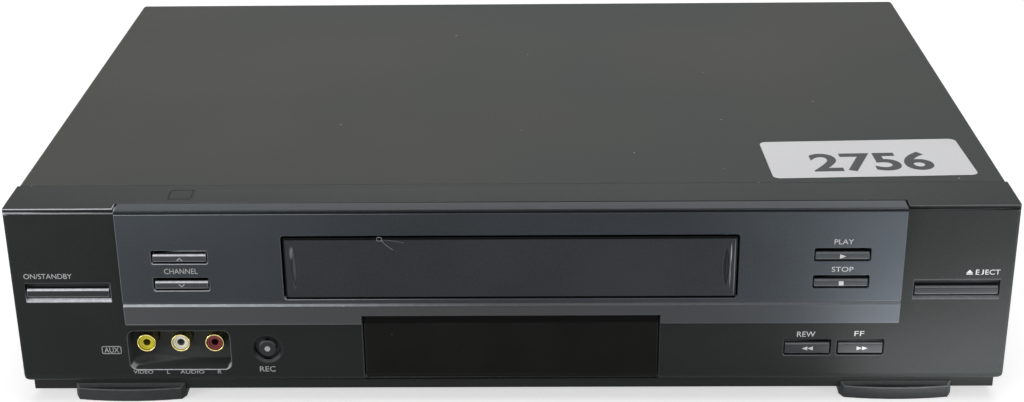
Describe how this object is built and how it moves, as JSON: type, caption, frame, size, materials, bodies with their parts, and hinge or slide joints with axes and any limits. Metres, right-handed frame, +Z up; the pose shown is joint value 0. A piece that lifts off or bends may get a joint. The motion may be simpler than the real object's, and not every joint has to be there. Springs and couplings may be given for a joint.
{
  "type": "video cassette recorder",
  "caption": "Front-loading tape recorder in a flat steel case: hinged cassette door, push buttons, display window, front and rear sockets, tape mechanism inside.",
  "frame": {"origin": "on the surface it stands on, in the middle of the footprint", "axes": "+X to the right seen from the front, +Y to the back, +Z up"},
  "size_m": [0.43, 0.302, 0.095],
  "materials": {
    "cover_paint": "satin dark grey-green paint",
    "pan_steel": "black painted steel",
    "bezel_plastic": "fine-grained black moulding",
    "fascia_plastic": "satin blue-grey moulding",
    "door_plastic": "satin dark blue-grey moulding",
    "window_plastic": "smoked, polished",
    "button_plastic": "satin black moulding",
    "foot_plastic": "black moulding",
    "board_green": "green solder mask",
    "board_tan": "tan phenolic board",
    "black_insulator": "black moulding",
    "tube_glass": "smoked glass tube",
    "gold_plate": "gold plating",
    "yellow_plastic": "yellow insert",
    "white_plastic": "white insert",
    "red_plastic": "red insert",
    "zinc_steel": "zinc-plated sheet",
    "machined_metal": "turned and ground",
    "winding_tape": "core and yellow tape",
    "capacitor_sleeve": "dark blue sleeve",
    "nylon": "natural nylon",
    "dark_nylon": "dark nylon",
    "rubber_black": "soft black rubber"
  },
  "bodies": {
    "case": {"bottom_pan": "pan_steel", "top_cover": "cover_paint", "front_bezel": "bezel_plastic", "centre_fascia": "fascia_plastic", "display_window": "window_plastic", "front_feet": "foot_plastic", "rear_feet": "foot_plastic", "rear_panel": "pan_steel", "case_screws": "zinc_steel", "front_board": "board_tan", "tact_switches": "zinc_steel", "display_tube": "tube_glass", "jack_block": "black_insulator", "jack_sleeves": "gold_plate", "video_jack_insert": "yellow_plastic", "left_jack_insert": "white_plastic", "right_jack_insert": "red_plastic", "scart_socket_in": "black_insulator", "scart_socket_out": "black_insulator", "tuner_can": "zinc_steel", "aerial_sockets": "machined_metal", "rear_phono_block": "black_insulator", "rear_phono_sleeves": "gold_plate", "mains_inlet": "black_insulator", "main_board": "board_green", "capacitors": "capacitor_sleeve", "shield_can": "zinc_steel", "power_board": "board_tan", "power_transformer": "winding_tape", "heat_sink": "machined_metal", "deck_plate": "zinc_steel", "lower_drum": "machined_metal", "capstan_motor": "board_green", "tape_guides": "machined_metal", "erase_head": "machined_metal", "audio_head": "machined_metal", "carriage_frame": "zinc_steel", "loading_motor": "zinc_steel", "drive_belt": "rubber_black"},
    "door": {"cassette_door": "door_plastic"},
    "power_key": {"power_button": "button_plastic"},
    "eject_key": {"eject_button": "button_plastic"},
    "channel_up_key": {"channel_up_button": "button_plastic"},
    "channel_down_key": {"channel_down_button": "button_plastic"},
    "play_key": {"play_button": "button_plastic"},
    "stop_key": {"stop_button": "button_plastic"},
    "rewind_key": {"rewind_button": "button_plastic"},
    "forward_key": {"fast_forward_button": "button_plastic"},
    "record_key": {"record_button": "button_plastic"},
    "sliders": {"lift_sliders": "zinc_steel"},
    "holder": {"cassette_holder": "zinc_steel"},
    "pinion": {"lift_pinion": "nylon"},
    "supply_table": {"supply_reel": "dark_nylon"},
    "takeup_table": {"takeup_reel": "dark_nylon"},
    "drum": {"upper_drum": "machined_metal"},
    "capstan": {"capstan_rotor": "machined_metal"},
    "pinch_lever": {"pinch_arm": "zinc_steel"},
    "roller": {"pinch_roller": "rubber_black"},
    "tension_lever": {"tension_arm": "machined_metal"}
  },
  "joints": [
    {"name": "door_hinge", "type": "hinge", "parent": "case", "child": "door", "pos_m": [0, -0.1499, 0.0816], "axis": [1, 0, 0], "range_deg": [0, 88], "stiffness_Nm_per_rad": 0.003, "springref_deg": -20.05},
    {"name": "power_press", "type": "slide", "parent": "case", "child": "power_key", "axis": [0, 1, 0], "range_m": [0, 0.001], "stiffness_N_per_m": 400, "springref_m": -0.0005},
    {"name": "eject_press", "type": "slide", "parent": "case", "child": "eject_key", "axis": [0, 1, 0], "range_m": [0, 0.001], "stiffness_N_per_m": 400, "springref_m": -0.0005},
    {"name": "channel_up_press", "type": "slide", "parent": "case", "child": "channel_up_key", "axis": [0, 1, 0], "range_m": [0, 0.001], "stiffness_N_per_m": 400, "springref_m": -0.0005},
    {"name": "channel_down_press", "type": "slide", "parent": "case", "child": "channel_down_key", "axis": [0, 1, 0], "range_m": [0, 0.001], "stiffness_N_per_m": 400, "springref_m": -0.0005},
    {"name": "play_press", "type": "slide", "parent": "case", "child": "play_key", "axis": [0, 1, 0], "range_m": [0, 0.001], "stiffness_N_per_m": 400, "springref_m": -0.0005},
    {"name": "stop_press", "type": "slide", "parent": "case", "child": "stop_key", "axis": [0, 1, 0], "range_m": [0, 0.001], "stiffness_N_per_m": 400, "springref_m": -0.0005},
    {"name": "rewind_press", "type": "slide", "parent": "case", "child": "rewind_key", "axis": [0, 1, 0], "range_m": [0, 0.001], "stiffness_N_per_m": 400, "springref_m": -0.0005},
    {"name": "forward_press", "type": "slide", "parent": "case", "child": "forward_key", "axis": [0, 1, 0], "range_m": [0, 0.001], "stiffness_N_per_m": 400, "springref_m": -0.0005},
    {"name": "record_press", "type": "slide", "parent": "case", "child": "record_key", "axis": [0, 1, 0], "range_m": [0, 0.001], "stiffness_N_per_m": 400, "springref_m": -0.0005},
    {"name": "holder_in", "type": "slide", "parent": "case", "child": "sliders", "axis": [0, 1, 0], "range_m": [0, 0.045]},
    {"name": "holder_down", "type": "slide", "parent": "sliders", "child": "holder", "axis": [0, 0, -1], "range_m": [0, 0.026]},
    {"name": "pinion_turn", "type": "hinge", "parent": "case", "child": "pinion", "pos_m": [0.0973, -0.038, 0.0356], "axis": [1, 0, 0], "range_deg": [-324, 0]},
    {"name": "supply_spin", "type": "hinge", "parent": "case", "child": "supply_table", "pos_m": [-0.046, -0.027, 0.026], "axis": [0, 0, 1], "continuous": true},
    {"name": "takeup_spin", "type": "hinge", "parent": "case", "child": "takeup_table", "pos_m": [0.046, -0.027, 0.026], "axis": [0, 0, 1], "continuous": true},
    {"name": "drum_spin", "type": "hinge", "parent": "case", "child": "drum", "pos_m": [-0.008, 0.054, 0.0305], "axis": [0, -0.0872, 0.9962], "continuous": true},
    {"name": "capstan_spin", "type": "hinge", "parent": "case", "child": "capstan", "pos_m": [0.06, 0.025, 0.02], "axis": [0, 0, 1], "continuous": true},
    {"name": "pinch_swing", "type": "hinge", "parent": "case", "child": "pinch_lever", "pos_m": [0.086, 0.033, 0.03], "axis": [0, 0, 1], "range_deg": [0, 25]},
    {"name": "roller_spin", "type": "hinge", "parent": "pinch_lever", "child": "roller", "pos_m": [0.06671, 0.03826, 0.04], "axis": [0, 0, 1], "continuous": true},
    {"name": "tension_swing", "type": "hinge", "parent": "case", "child": "tension_lever", "pos_m": [-0.086, 0.029, 0.03], "axis": [0, 0, 1], "range_deg": [0, 18], "stiffness_Nm_per_rad": 0.004}
  ],
  "couplings": [
    {"joint": "pinion_turn", "follows": "holder_in", "rad_per_m": -125}
  ]
}
